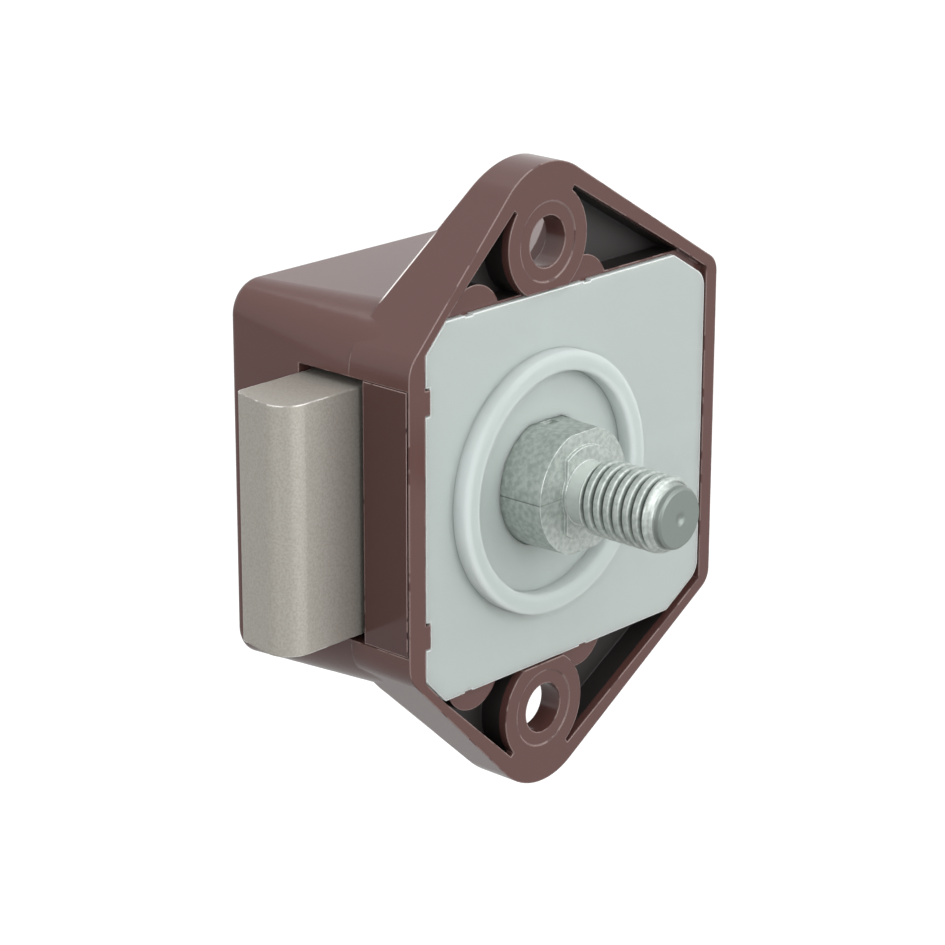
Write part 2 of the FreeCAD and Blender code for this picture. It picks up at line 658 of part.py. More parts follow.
# Cam plates: the roller of the spindle runs in a slot at 45 degrees, so that the bolt goes in
# exactly as far as the spindle comes out
for side, sign in (("upper", "1"), ("lower", "-1")):
    cam = new_body("cam_plate_" + side)
    cam_low = "tongue_half_height + cam_gap"
    level = cam_low if sign == "1" else "-(%s + cam_thickness)" % cam_low
    outline = new_sketch(cam, side + "_cam_outline", "XY_Plane", level)
    add_outline(outline, [("-cam_left", "cam_front", "cam_round"),
                          ("-travel / 2", "cam_front", "cam_round"),
                          ("cam_right", "trunnion_depth - travel / 3", "cam_round"),
                          ("cam_right", "cam_rear", "cam_round"),
                          ("-cam_left", "cam_rear", "cam_round")])
    pad(cam, outline, "cam_thickness")
    track = new_sketch(cam, side + "_cam_slot", "XY_Plane", level)
    slot_half = "(roller_radius + roller_slot_gap)"
    step = "(%s * sqrt(2))" % slot_half
    add_outline(track, [("overtravel", "trunnion_depth + overtravel + %s" % step, "%s * 0.999" % slot_half),
                        ("-travel - %s" % step, "trunnion_depth - travel", "%s * 0.999" % slot_half),
                        ("-travel", "trunnion_depth - travel - %s" % step, "%s * 0.999" % slot_half),
                        ("overtravel + %s" % step, "trunnion_depth + overtravel", "%s * 0.999" % slot_half)])
    pocket(cam, track, "cam_thickness")
    for name, depth in (("front", "pin_front_depth"), ("rear", "pin_rear_depth")):
        pin_hole = new_sketch(cam, "%s_%s_hole" % (side, name), "XY_Plane", level)
        add_circle(pin_hole, ("-pin_across", depth), "pin_radius")
        pocket(cam, pin_hole, "cam_thickness")
        pin = new_body("cam_pin_%s_%s" % (side, name))
        end = "%s + cam_thickness - 0.1" % cam_low
        start = end + " - pin_length" if sign == "1" else "-(%s)" % end
        section = new_sketch(pin, "%s_%s_pin_section" % (side, name), "XY_Plane", start)
        add_circle(section, ("-pin_across", depth), "pin_radius")
        pad(pin, section, "pin_length")

# Spindle: threaded stud, boss, hub with two flats, tail with trunnions and an arm for the follower
spindle = new_body("spindle")
section = new_sketch(spindle, "spindle_section", "XY_Plane")
boss_front = "-(hub_front + boss_height)"
neck_front = "(%s - neck_length)" % boss_front
add_outline(section, [("0", "tail_end"), ("0", "-tip_end"), ("tip_radius", "-tip_end"),
                      ("thread_radius", "-thread_end"), ("thread_radius", neck_front + " - 0.3"),
                      ("neck_radius", neck_front), ("neck_radius", "-hub_front"),
                      ("hub_front_radius", "-hub_front"), ("hub_radius", "hub_draft_end"),
                      ("hub_radius", "hub_rear"), ("tail_radius", "hub_rear"), ("tail_radius", "tail_end")])
turn(spindle, section)
for side, sign in (("upper", "1"), ("lower", "-1")):
    flat = new_sketch(spindle, side + "_flat", "XZ_Plane", "-hub_front")
    add_outline(flat, box_corners("-hub_radius", "hub_radius", sign + " * hub_flat", sign + " * 2 * hub_radius"))
    pocket(spindle, flat, "hub_rear + hub_front")
mark = new_sketch(spindle, "hub_mark", "XZ_Plane", "-hub_mark_front")
add_outline(mark, box_corners("-hub_mark_width / 2", "hub_mark_width / 2", "hub_flat - 0.25", "hub_radius"))
pocket(spindle, mark, "hub_mark_front + 0.1")
face_boss = new_sketch(spindle, "face_boss", "XZ_Plane", boss_front)
half_turn = math.acos(number("boss_flat") / number("boss_radius"))
arc = Part.ArcOfCircle(Part.Circle(FreeCAD.Vector(0, 0, 0), FreeCAD.Vector(0, 0, 1), number("boss_radius")),
                       half_turn - math.pi, math.pi - half_turn)
curve = face_boss.addGeometry(arc, False)
line = face_boss.addGeometry(Part.LineSegment(arc.EndPoint, arc.StartPoint), False)
face_boss.addConstraint(Sketcher.Constraint("Coincident", curve, 2, line, 1))
face_boss.addConstraint(Sketcher.Constraint("Coincident", line, 2, curve, 1))
face_boss.addConstraint(Sketcher.Constraint("Vertical", line))
face_boss.addConstraint(Sketcher.Constraint("Coincident", curve, 3, -1, 1))
drive(face_boss, Sketcher.Constraint("Radius", curve, number("boss_radius")), "round", "boss_radius")
drive(face_boss, Sketcher.Constraint("DistanceX", -1, 1, line, 1, -number("boss_flat")), "flat", "-boss_flat")
pad(spindle, face_boss, "boss_height + 0.2")
dimple = new_sketch(spindle, "tip_dimple", "XZ_Plane", "-tip_end")
add_circle(dimple, ("0", "0"), "tip_dimple_radius")
pocket(spindle, dimple, "tip_dimple_depth")
for side, sign in (("upper", "1"), ("lower", "-1")):
    start = "tail_radius * 0.8" if sign == "1" else "-trunnion_end"
    trunnion = new_sketch(spindle, side + "_trunnion", "XY_Plane", start)
    add_circle(trunnion, ("0", "trunnion_depth"), "trunnion_radius")
    pad(spindle, trunnion, "trunnion_end - tail_radius * 0.8")
arm = new_sketch(spindle, "follower_arm", "XY_Plane")
add_outline(arm, box_corners("tail_radius * 0.8", "arm_reach", "arm_front", "arm_rear"))
pad(spindle, arm, "2 * arm_half_height", both_ways=True)
spring_bore = new_sketch(spindle, "spring_bore", "XZ_Plane", "spring_bore_end")
add_circle(spring_bore, ("0", "0"), "spring_bore_radius")
pocket(spindle, spring_bore, "tail_end")
pivot_hole = new_sketch(spindle, "pivot_hole", "YZ_Plane", "arm_reach - 2.2")
add_circle(pivot_hole, ("pivot_depth", "0"), "pivot_radius")
pocket(spindle, pivot_hole, "2 * arm_reach")

# Rollers on the trunnions, each kept on by a spring clip
for side, sign in (("upper", "1"), ("lower", "-1")):
    middle = "%s * (tongue_half_height + cam_gap + cam_thickness / 2)" % sign
    roller = new_body("roller_" + side)
    section = new_sketch(roller, side + "_roller_section", "XY_Plane", middle)
    add_circle(section, ("0", "trunnion_depth"), "roller_radius", "outer")
    add_circle(section, ("0", "trunnion_depth"), "trunnion_radius + roller_gap", "inner")
    pad(roller, section, "roller_length", both_ways=True)
    clip = new_body("roller_clip_" + side)
    start = "clip_start" if sign == "1" else "-(clip_start + clip_thickness)"
    section = new_sketch(clip, side + "_clip_section", "XY_Plane", start)
    add_circle(section, ("0", "trunnion_depth"), "clip_radius", "outer")
    add_circle(section, ("0", "trunnion_depth"), "trunnion_radius", "inner")
    pad(clip, section, "clip_thickness")

# Latching track: a block on the rear wall with a channel round a heart
track_block = new_body("latch_track")
outline = new_sketch(track_block, "track_outline", "YZ_Plane", "track_face")
add_outline(outline, box_corners("track_front", "inner_rear", "-track_half_height", "track_half_height"))
pad(track_block, outline, "track_thickness")
channel = new_sketch(track_block, "track_channel", "YZ_Plane", "track_face")
low, high = "(track_front + 1)", "(inner_rear - 0.3)"
add_outline(channel, [(low, "-track_half_width / 3"), (low, "track_half_width / 3"),
                      ("heart_front", "track_half_width"), (high, "track_half_width"),
                      (high, "-track_half_width"), ("heart_front", "-track_half_width")])
pocket(track_block, channel, "track_depth")
heart = new_sketch(track_block, "heart_island", "YZ_Plane", "track_face")
add_outline(heart, [("heart_front", "0"), ("heart_rear - heart_notch", "heart_half_width"),
                    ("heart_rear", "heart_half_width * 0.8"), ("heart_rear - heart_notch", "0"),
                    ("heart_rear", "-heart_half_width * 0.8"),
                    ("heart_rear - heart_notch", "-heart_half_width")])
pad(track_block, heart, "track_depth + 0.1")

# Follower: a small lever that swings about a pin in the arm of the spindle
follower = new_body("latch_follower")
lever = new_sketch(follower, "lever_outline", "YZ_Plane", "follower_start")
tip_depth = "(pivot_depth + follower_reach)"
add_outline(lever, box_corners("pivot_depth - follower_eye", tip_depth + " + follower_half_width",
                               "-follower_half_width", "follower_half_width",
                               "follower_half_width * 0.99"))
pad(follower, lever, "follower_thickness")
eye = new_sketch(follower, "follower_eye", "YZ_Plane", "follower_start")
add_circle(eye, ("pivot_depth", "0"), "follower_eye")
pad(follower, eye, "follower_thickness")
tip = new_sketch(follower, "follower_tip", "YZ_Plane", "follower_start")
add_circle(tip, (tip_depth, "0"), "follower_tip_radius")
pad(follower, tip, "track_face - follower_start - follower_tip_gap")
eye_hole = new_sketch(follower, "follower_hole", "YZ_Plane", "follower_start")
add_circle(eye_hole, ("pivot_depth", "0"), "pivot_radius + roller_gap")
pocket(follower, eye_hole, "follower_thickness")
pivot = new_body("follower_pivot")
section = new_sketch(pivot, "pivot_section", "YZ_Plane", "arm_reach - 2.2")
add_circle(section, ("pivot_depth", "0"), "pivot_radius")
pad(pivot, section, "track_face - follower_tip_gap - arm_reach + 2.2")

# Compression spring between the spindle and the rear wall, and the pin that guides it
spring = new_body("spindle_spring")
wire = new_sketch(spring, "wire_section", "XY_Plane")
add_circle(wire, ("spring_mean", "spring_front + spring_wire"), "spring_wire")
coil = spring.newObject("PartDesign::AdditiveHelix", "coil")
coil.Profile = wire
coil.ReferenceAxis = ([part for part in spring.Origin.OriginFeatures if part.Role == "Y_Axis"][0], [""])
coil.Mode = "height-turns-angle"
coil.Angle = 0.0
coil.Growth = 0.0
coil.setExpression("Height", bound("inner_rear - 0.05 - spring_front - 2 * spring_wire"))
coil.setExpression("Turns", bound("spring_turns"))
coil.Reversed = False
document.recompute()
guide_pin = new_body("spring_guide_pin")
section = new_sketch(guide_pin, "guide_pin_section", "XZ_Plane", "guide_pin_front")
add_circle(section, ("0", "0"), "guide_pin_radius")
pad(guide_pin, section, "inner_rear + guide_pin_seat - guide_pin_front")
seat = new_sketch(housing, "guide_pin_seat", "XZ_Plane", "inner_rear")
add_circle(seat, ("0", "0"), "guide_pin_radius")
pocket(housing, seat, "guide_pin_seat")

document.recompute()
bodies = [item for item in document.Objects if item.TypeId == "PartDesign::Body"]
for item in document.Objects:
    if "Invalid" in item.State or "Error" in item.State:
        raise RuntimeError("failed: %s %s" % (item.Name, item.getStatusString()))
for body in bodies:
    if body.Shape.isNull() or not body.Shape.isValid() or len(body.Shape.Solids) != 1:
        raise RuntimeError("bad shape: %s with %d solids" % (body.Label, len(body.Shape.Solids)))
os.makedirs("parts", exist_ok=True)
for body in bodies:
    box = body.Shape.BoundBox
    print("%-22s volume %8.1f  x %6.2f %6.2f  y %6.2f %6.2f  z %6.2f %6.2f" % (
        body.Label, body.Shape.Volume, box.XMin, box.XMax, box.YMin, box.YMax, box.ZMin, box.ZMax))
    body.Shape.exportStep("parts/%s.step" % body.Label)
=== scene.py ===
import json
import math

import bmesh
import bpy
from mathutils import Matrix, Vector


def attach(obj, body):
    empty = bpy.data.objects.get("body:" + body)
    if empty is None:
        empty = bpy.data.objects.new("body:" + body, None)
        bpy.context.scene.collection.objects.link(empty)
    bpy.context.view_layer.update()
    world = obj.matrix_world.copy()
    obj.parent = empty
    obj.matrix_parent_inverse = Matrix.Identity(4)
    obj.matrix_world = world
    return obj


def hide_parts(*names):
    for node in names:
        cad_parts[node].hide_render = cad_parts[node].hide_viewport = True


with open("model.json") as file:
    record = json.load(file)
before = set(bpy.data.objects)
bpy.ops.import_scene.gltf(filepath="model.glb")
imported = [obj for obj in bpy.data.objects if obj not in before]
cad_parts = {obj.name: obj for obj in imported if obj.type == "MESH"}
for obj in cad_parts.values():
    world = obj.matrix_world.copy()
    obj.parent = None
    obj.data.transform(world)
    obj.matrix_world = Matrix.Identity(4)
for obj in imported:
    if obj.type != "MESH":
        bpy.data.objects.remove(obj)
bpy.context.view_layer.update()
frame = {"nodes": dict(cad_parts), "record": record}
print("stage: frame loaded")

mm = 0.001
noLimit = 1.0  # metres, far beyond every point of the lock
fade = 0.1 * mm  # over which most masks fade out
crispFade = 0.05 * mm  # over which those fade out that have to look crisp
bevelSamples = 6  # rays that feel for an edge, enough for a clean one


# Turns an sRGB hex colour into linear values
def linear(hexColour):
    channels = [int(hexColour[i:i + 2], 16) / 255 for i in (0, 2, 4)]
    return tuple(c / 12.92 if c <= 0.04045 else ((c + 0.055) / 1.055) ** 2.4 for c in channels) + (1.0,)


# Adds one node with its settings and inputs. An input is a plain value, a node whose first output it
# takes, or a pair of a node and the name or number of the output.
def addNode(tree, kind, inputs=None, **settings):
    node = tree.nodes.new(kind)
    for name, value in settings.items():
        setattr(node, name, value)
    for socket, source in (inputs or {}).items():
        if isinstance(source, bpy.types.Node):
            source = (source, 0)
        if isinstance(source, tuple) and isinstance(source[0], bpy.types.Node):
            tree.links.new(source[0].outputs[source[1]], node.inputs[socket])
        else:
            node.inputs[socket].default_value = source
    return node


# A material with its main shader, ready for more nodes
def newMaterial(name, look):
    material = bpy.data.materials.new(name)
    material.use_nodes = True
    tree = material.node_tree
    shader = tree.nodes["Principled BSDF"]
    shader.inputs["Base Color"].default_value = linear(look["colour"])
    shader.inputs["Roughness"].default_value = look["roughness"]
    shader.inputs["Metallic"].default_value = look.get("metallic", 0.0)
    return material, tree, shader


# 1 where the value lies between low and high, fading to 0 over the soft width
def band(tree, value, low, high, soft):
    rise = addNode(tree, "ShaderNodeMapRange", {"Value": value, "From Min": low - soft, "From Max": low})
    fall = addNode(tree, "ShaderNodeMapRange", {"Value": value, "From Min": high, "From Max": high + soft,
                                                "To Min": 1.0, "To Max": 0.0})
    return overlap(tree, rise, fall)


# 1 where all the masks are 1, in proportion where they are between 0 and 1
def overlap(tree, *masks):
    result = masks[0]
    for mask in masks[1:]:
        result = addNode(tree, "ShaderNodeMath", {0: result, 1: mask}, operation="MULTIPLY")
    return result


# Paints colours over the first one, each where all its masks are 1, and gives them to the shader
def paint(tree, shader, colour, layers):
    below = linear(colour)
    for masks, hexColour in layers:
        mix = addNode(tree, "ShaderNodeMix", {0: overlap(tree, *masks), 6: below, 7: linear(hexColour)},
                      data_type="RGBA")
        below = (mix, 2)
    tree.links.new(mix.outputs[2], shader.inputs["Base Color"])


# Changes the roughness to another one where the mask is 1
def changeRoughness(tree, shader, mask, usual, other):
    rough = addNode(tree, "ShaderNodeMath", {0: mask, 1: other - usual, 2: usual}, operation="MULTIPLY_ADD")
    tree.links.new(rough.outputs[0], shader.inputs["Roughness"])


# Where a point of the object lies: the texture coordinates, and its X, Y and Z
def objectPlace(tree):
    place = addNode(tree, "ShaderNodeTexCoord")
    return place, addNode(tree, "ShaderNodeSeparateXYZ", {"Vector": (place, "Object")})


# How far a point lies from the spindle's axis
def fromSpindle(tree, place):
    flat = addNode(tree, "ShaderNodeVectorMath", {0: (place, "Object"), 1: (1, 0, 1)}, operation="MULTIPLY")
    return (addNode(tree, "ShaderNodeVectorMath", {0: flat}, operation="LENGTH"), "Value")


# Edges that look slightly rounded, with a relief if the look has one. Returns the node that rounds.
def softEdges(tree, shader, look):
    edge = addNode(tree, "ShaderNodeBevel", {"Radius": look["edgeRadius"]}, samples=bevelSamples)
    normal = edge
    if "reliefSize" in look:
        place = addNode(tree, "ShaderNodeTexCoord")
        grain = addNode(tree, "ShaderNodeTexNoise", {"Vector": (place, "Object"),
                                                     "Scale": 1 / look["reliefSize"],
                                                     "Detail": look["reliefDetail"]})
        normal = addNode(tree, "ShaderNodeBump", {"Height": grain, "Normal": edge, "Strength": 1.0,
                                                  "Distance": look["reliefDepth"]})
    tree.links.new(normal.outputs["Normal"], shader.inputs["Normal"])
    return edge


# The lines along edges, which the materials paint as painted highlights, partly also as flash and wear.
# Where they start and are full is the cosine between the two normals there.
lineSettings = {"startCosine": 0.995, "fullCosine": 0.95, "gapDetail": 2.0, "gapSoft": 0.05}


# 1 along sharp edges, where the rounded normal leaves the face's own, with gaps if the look has them
def edgeLines(tree, edge, look):
    own = addNode(tree, "ShaderNodeNewGeometry")
    alike = addNode(tree, "ShaderNodeVectorMath", {0: edge, 1: (own, "Normal")}, operation="DOT_PRODUCT")
    line = addNode(tree, "ShaderNodeMapRange",
                   {"Value": (alike, "Value"), "From Min": lineSettings["startCosine"],
                    "From Max": lineSettings["fullCosine"], "To Max": look["lineAmount"]})
    if "gapSize" not in look:
        return line
    place = addNode(tree, "ShaderNodeTexCoord")
    noise = addNode(tree, "ShaderNodeTexNoise", {"Vector": (place, "Object"), "Scale": 1 / look["gapSize"],
                                                 "Detail": lineSettings["gapDetail"]})
    kept = addNode(tree, "ShaderNodeMapRange",
                   {"Value": noise, "From Min": look["gapShare"] - lineSettings["gapSoft"],
                    "From Max": look["gapShare"]})
    return overlap(tree, line, kept)


# 1 on the pale patches of a metal's grain and 0 on the dark ones
def grainMask(tree, place, look):
    patches = addNode(tree, "ShaderNodeTexNoise", {"Vector": (place, "Object"),
                                                   "Scale": 1 / look["grainSize"],
                                                   "Detail": look["grainDetail"]})
    return addNode(tree, "ShaderNodeMapRange", {"Value": patches, "From Min": look["grainLow"],
                                                "From Max": look["grainHigh"]})


# The housing: its finish, then its ears with the painted shade of their pockets and the painted highlight
# on their rear edge. Angles are in degrees.
housingSettings = {"colour": "583A36", "flashAndHighlightColour": "A58E89", "paintedPocketShadeColour": "181A19",
                   "rearEdgeHighlightColour": "F4EEEA", "roughness": 0.2, "pocketRoughness": 0.5,
                   "paintedPocketShadeAmount": 0.93, "edgeRadius": 0.2 * mm, "reliefSize": 11.11 * mm,
                   "reliefDepth": 0.02 * mm, "reliefDetail": 1.0, "lineAmount": 0.7,
                   "gapSize": 2.381 * mm, "gapShare": 0.46,
                   "holeHeight": 22.5 * mm, "eyeRadius": 7.35 * mm, "leftAngle": 45.7, "rightAngle": 31.3,
                   "wall": 0.5 * mm, "pocketStart": 17.9 * mm, "pocketTop": 27.6 * mm,
                   "pocketFront": 0.9 * mm, "pocketRear": 3.2 * mm, "bossReach": 4.85 * mm,
                   "rearSlope": 16.2, "tipHeight": 27.5 * mm, "tipThickness": 4.6 * mm,
                   "lineWidth": 0.14 * mm, "lineStart": 18.9 * mm, "lineEnd": 23.6 * mm,
                   "lineFade": 0.6 * mm, "lineInset": 0.04 * mm, "insetFade": 0.03 * mm}


# How far a point lies inside the ear's outer face, the left one for side 1 and the right one for -1
def earInset(tree, parts, height, side, angle):
    across = side * math.sin(math.radians(angle))
    up = math.cos(math.radians(angle))
    offset = housingSettings["holeHeight"] * up + housingSettings["eyeRadius"]
    down = addNode(tree, "ShaderNodeMath", {0: height, 1: -up, 2: offset}, operation="MULTIPLY_ADD")
    return addNode(tree, "ShaderNodeMath", {0: (parts, "X"), 1: across, 2: down}, operation="MULTIPLY_ADD")


# 1 on the floor and walls of the ear pockets, which face each other and are painted dark as painted shade
def pocketShade(tree, parts, height):
    ear = housingSettings
    fromLeft = earInset(tree, parts, height, 1, ear["leftAngle"])
    fromRight = earInset(tree, parts, height, -1, ear["rightAngle"])
    flat = addNode(tree, "ShaderNodeCombineXYZ", {"X": (parts, "X"), "Z": height})
    fromHole = addNode(tree, "ShaderNodeVectorMath", {0: flat, 1: (0, 0, ear["holeHeight"])},
                       operation="DISTANCE")
    return overlap(tree, band(tree, height, ear["pocketStart"], ear["pocketTop"], fade),
                   band(tree, (parts, "Y"), ear["pocketFront"], ear["pocketRear"], fade),
                   band(tree, fromLeft, ear["wall"], noLimit, crispFade),
                   band(tree, fromRight, ear["wall"], noLimit, crispFade),
                   band(tree, (fromHole, "Value"), ear["bossReach"], noLimit, crispFade))


# 1 in a thin line along the lower half of the ears' rear left edge, a painted highlight on this sharp edge
def rearEdgeHighlightMask(tree, parts, height):
    ear = housingSettings
    slope = math.tan(math.radians(ear["rearSlope"]))
    offset = ear["tipHeight"] * slope + ear["tipThickness"]
    rear = addNode(tree, "ShaderNodeMath", {0: height, 1: -slope, 2: offset}, operation="MULTIPLY_ADD")
    inFront = addNode(tree, "ShaderNodeMath", {0: rear, 1: (parts, "Y")}, operation="SUBTRACT")
    inset = earInset(tree, parts, height, 1, ear["leftAngle"])
    return overlap(tree, band(tree, inFront, -noLimit, ear["lineWidth"], crispFade),
                   band(tree, inset, -noLimit, ear["lineInset"], ear["insetFade"]),
                   band(tree, height, ear["lineStart"], ear["lineEnd"], ear["lineFade"]))


# ABS, injection moulded in a polished tool: red-brown and glossy, with a slight waviness as it shrank,
# broken pale lines along its edges that are partly flash and partly a painted highlight, painted shade
# in the ear pockets and a painted highlight along the ears' rear edge
def makeHousingAbs():
    look = housingSettings
    material, tree, shader = newMaterial("mouldedAbs", look)
    place, parts = objectPlace(tree)
    height = addNode(tree, "ShaderNodeMath", {0: (parts, "Z")}, operation="ABSOLUTE")
    edge = softEdges(tree, shader, look)
    shade = pocketShade(tree, parts, height)
    outside = addNode(tree, "ShaderNodeMath", {0: 1.0, 1: shade}, operation="SUBTRACT")
    paint(tree, shader, look["colour"],
          # painted shade: the ear pockets are painted near black where shade falls in them
          [((shade, look["paintedPocketShadeAmount"]), look["paintedPocketShadeColour"]),
           # pale edge lines: partly moulding flash, partly a painted highlight
           ((edgeLines(tree, edge, look), outside), look["flashAndHighlightColour"]),
           # painted highlight: the ears' sharp rear edge is painted almost white
           ((rearEdgeHighlightMask(tree, parts, height),), look["rearEdgeHighlightColour"])])
    changeRoughness(tree, shader, shade, look["roughness"], look["pocketRoughness"])
    return material


insertSettings = {"colour": "4A2F2C", "flashAndHighlightColour": "C4A6A1", "roughness": 0.16,
                  "edgeRadius": 0.15 * mm, "lineAmount": 0.8, "gapSize": 1.667 * mm, "gapShare": 0.42}


# ABS of a darker brown, moulded as a small smooth piece: glossier, with a bright thin line at its rim,
# partly flash and partly a painted highlight
def makeInsertAbs():
    look = insertSettings
    material, tree, shader = newMaterial("mouldedAbsDark", look)
    edge = softEdges(tree, shader, look)
    # the bright rim line is partly flash and partly a painted highlight
    paint(tree, shader, look["colour"], [((edgeLines(tree, edge, look),), look["flashAndHighlightColour"])])
    return material


# The cover plate: its finish, then its raised ring, and how its light is spread
plateSettings = {"colour": "B3BCB8", "ringColour": "B6BFBC", "flankLightColour": "D9E1DF",
                 "rimHighlightColour": "F2F6F4", "roughness": 0.3, "edgeRadius": 0.24 * mm, "lineAmount": 1.0,
                 "ringAmount": 0.95, "ribAmount": 0.16, "ribHalfWidth": 0.5 * mm, "ribSoft": 0.6 * mm,
                 "cloudAmount": 0.3, "cloudSize": 14.29 * mm, "cloudDetail": 1.0, "rimFrom": 13.0 * mm,
                 "ringInner": 10.3 * mm, "ringOuter": 12.6 * mm, "ringCrest": 11.45 * mm,
                 "ringMargin": 0.3 * mm, "ringFade": 0.4 * mm, "ringFoot": 0.05 * mm,
                 "scatterReach": 3.0 * mm, "flatten": 0.93, "left": 0.9, "down": 0.3,
                 "flankLean": 1.05 * mm, "flankFade": 0.75 * mm}


# 1 on the flanks of the ring that face left and down, painted lighter as painted light from within the ring
def ringFlankLightMask(tree, place, reach):
    look = plateSettings
    fromCrest = addNode(tree, "ShaderNodeMath", {0: reach, 1: look["ringCrest"]}, operation="SUBTRACT")
    leftDown = addNode(tree, "ShaderNodeVectorMath",
                       {0: (place, "Object"), 1: (-look["left"], 0, -look["down"])}, operation="DOT_PRODUCT")
    away = overlap(tree, fromCrest, (leftDown, "Value"))
    lean = addNode(tree, "ShaderNodeMath", {0: away, 1: reach}, operation="DIVIDE")
    return band(tree, lean, look["flankLean"], noLimit, look["flankFade"])


# The light that comes in anywhere on the thick ring spreads all through it, so its edges hardly shade:
# their shading leans towards that of a flat front
def flattenRing(tree, shader, onRing):
    own = shader.inputs["Normal"].links[0].from_node
    front = addNode(tree, "ShaderNodeVectorTransform", {"Vector": (0, -1, 0)}, vector_type="NORMAL",
                    convert_from="OBJECT", convert_to="WORLD")
    amount = overlap(tree, onRing, plateSettings["flatten"])
    mix = addNode(tree, "ShaderNodeMix", {0: amount, 4: own, 5: front}, data_type="VECTOR")
    unit = addNode(tree, "ShaderNodeVectorMath", {0: (mix, 1)}, operation="NORMALIZE")
    tree.links.new(unit.outputs["Vector"], shader.inputs["Normal"])


# Uncoloured polypropylene, injection moulded: milky blue-white, because light passes a little way in.
# The raised ring looks whiter as it is thicker, the ribs behind show as faint lighter bands, the sharp rim
# of the plate is painted bright as a painted highlight, and the ring's left and lower flanks are painted
# lighter as painted light.
def makePlatePolypropylene():
    look = plateSettings
    material, tree, shader = newMaterial("mouldedPolypropylene", look)
    shader.inputs["Subsurface Radius"].default_value = (1.0, 1.0, 1.0)
    shader.inputs["Subsurface Scale"].default_value = look["scatterReach"]
    place, parts = objectPlace(tree)
    reach = fromSpindle(tree, place)
    onRing = overlap(tree, band(tree, reach, look["ringInner"], look["ringOuter"], fade),
                     band(tree, (parts, "Y"), -noLimit, look["ringFoot"], crispFade))
    ringMiddle = band(tree, reach, look["ringInner"] + look["ringMargin"],
                      look["ringOuter"] - look["ringMargin"], look["ringFade"])
    sideways = addNode(tree, "ShaderNodeMath", {0: (parts, "X")}, operation="ABSOLUTE")
    height = addNode(tree, "ShaderNodeMath", {0: (parts, "Z")}, operation="ABSOLUTE")
    upright = band(tree, sideways, -noLimit, look["ribHalfWidth"], look["ribSoft"])
    level = overlap(tree, band(tree, height, -noLimit, look["ribHalfWidth"], look["ribSoft"]),
                    band(tree, (parts, "X"), 0.0, noLimit, fade))
    ribs = addNode(tree, "ShaderNodeMath", {0: upright, 1: level}, operation="MAXIMUM")
    cloud = addNode(tree, "ShaderNodeTexNoise", {"Vector": (place, "Object"), "Scale": 1 / look["cloudSize"],
                                                 "Detail": look["cloudDetail"]})
    faint = addNode(tree, "ShaderNodeMath", {0: overlap(tree, ribs, look["ribAmount"]),
                                             1: overlap(tree, cloud, look["cloudAmount"])}, operation="ADD")
    whiter = addNode(tree, "ShaderNodeMath", {0: overlap(tree, ringMiddle, look["ringAmount"]), 1: faint},
                     operation="MAXIMUM")
    edge = softEdges(tree, shader, look)
    # painted highlight: the sharp rim of the plate is painted near white
    rim = overlap(tree, edgeLines(tree, edge, look), band(tree, reach, look["rimFrom"], noLimit, fade))
    paint(tree, shader, look["colour"], [((whiter,), look["ringColour"]),
                                         # painted light: the ring's flanks that face left and down are
                                         # painted lighter
                                         ((ringFlankLightMask(tree, place, reach), onRing), look["flankLightColour"]),
                                         ((rim,), look["rimHighlightColour"])])
    inside = addNode(tree, "ShaderNodeMath", {0: 1.0, 1: rim}, operation="SUBTRACT")
    tree.links.new(inside.outputs[0], shader.inputs["Subsurface Weight"])
    flattenRing(tree, shader, onRing)
    return material


# The casting: its finish, with a grain drawn coarser than the real one so that it shows, then where
# its parts lie along the spindle's axis and how far they reach from it
castSettings = {"colour": "BFC6C1", "darkColour": "A6AEA9", "seamAndGrooveShadeColour": "5F6561", "tipColour": "848C87",
                "neckHighlightColour": "CDD3CF", "wearAndHighlightColour": "EEF2F0", "roughness": 0.36, "neckRoughness": 0.14,
                "metallic": 0.6, "edgeRadius": 0.12 * mm,
                "grainSize": 0.5 * mm, "grainDetail": 5.0, "grainLow": 0.37, "grainHigh": 0.62,
                "reliefSize": 0.2381 * mm, "reliefDepth": 0.012 * mm, "reliefDetail": 3.0,
                "lineAmount": 0.55, "gapSize": 1.429 * mm, "gapShare": 0.48, "seamAmount": 0.7,
                "grooveShadeAmount": 0.85,
                "hubFace": -4.5 * mm, "neck": (-6.7 * mm, -4.95 * mm), "neckRadius": 3.1 * mm,
                "thread": (-14.6 * mm, -6.2 * mm), "groove": (2.9 * mm, 3.14 * mm), "tip": -15.05 * mm,
                "tipEdge": -15.0 * mm, "seamHalfWidth": 0.03 * mm, "seamFade": 0.06 * mm,
                "threadFade": 0.2 * mm, "grooveFade": 0.16 * mm, "neckFade": 0.15 * mm}


